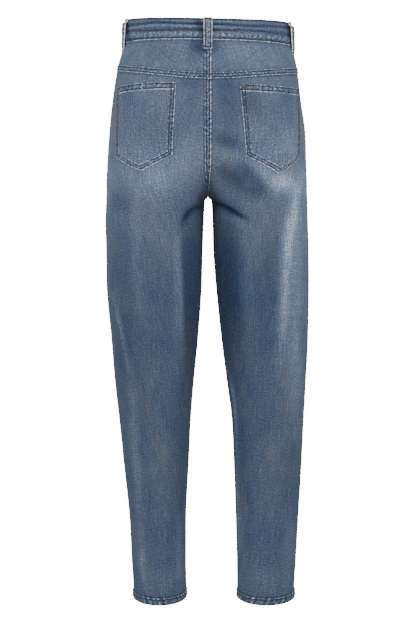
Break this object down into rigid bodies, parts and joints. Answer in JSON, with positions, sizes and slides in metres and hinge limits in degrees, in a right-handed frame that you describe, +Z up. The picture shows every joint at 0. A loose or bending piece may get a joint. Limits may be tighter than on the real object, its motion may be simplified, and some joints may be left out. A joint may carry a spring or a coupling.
{
  "type": "barrel jeans",
  "caption": "Full-length barrel-leg denim jeans, filled out and hollow, with a waistband, belt loops, back yoke, patch pockets and open hems.",
  "frame": {"origin": "middle of the waist opening, level with the top edge of the waistband", "axes": "+Z up, the front of the jeans faces -Y, the wearer's left is at +X"},
  "size_m": [0.3493, 0.2671, 0.998],
  "materials": {
    "denim": "washed mid-blue twill, matt",
    "denim_worn": "the same twill faded greyer, matt",
    "denim_dark": "the same twill, less faded",
    "zip_tape": "woven tape",
    "button_metal": "dull copper brown"
  },
  "bodies": {
    "root": {"back_left": "denim", "back_right": "denim", "front_left": "denim", "front_right": "denim", "yoke_left": "denim_worn", "yoke_right": "denim_worn", "waistband": "denim", "pocket_back_left": "denim_worn", "pocket_back_right": "denim_worn", "pocket_facing_left": "denim_dark", "pocket_facing_right": "denim_dark", "belt_loop_back": "denim", "belt_loop_side_left": "denim", "belt_loop_side_right": "denim", "belt_loop_front_left": "denim", "belt_loop_front_right": "denim", "fly_flap": "denim", "zip": "zip_tape", "button": "button_metal"}
  },
  "joints": []
}
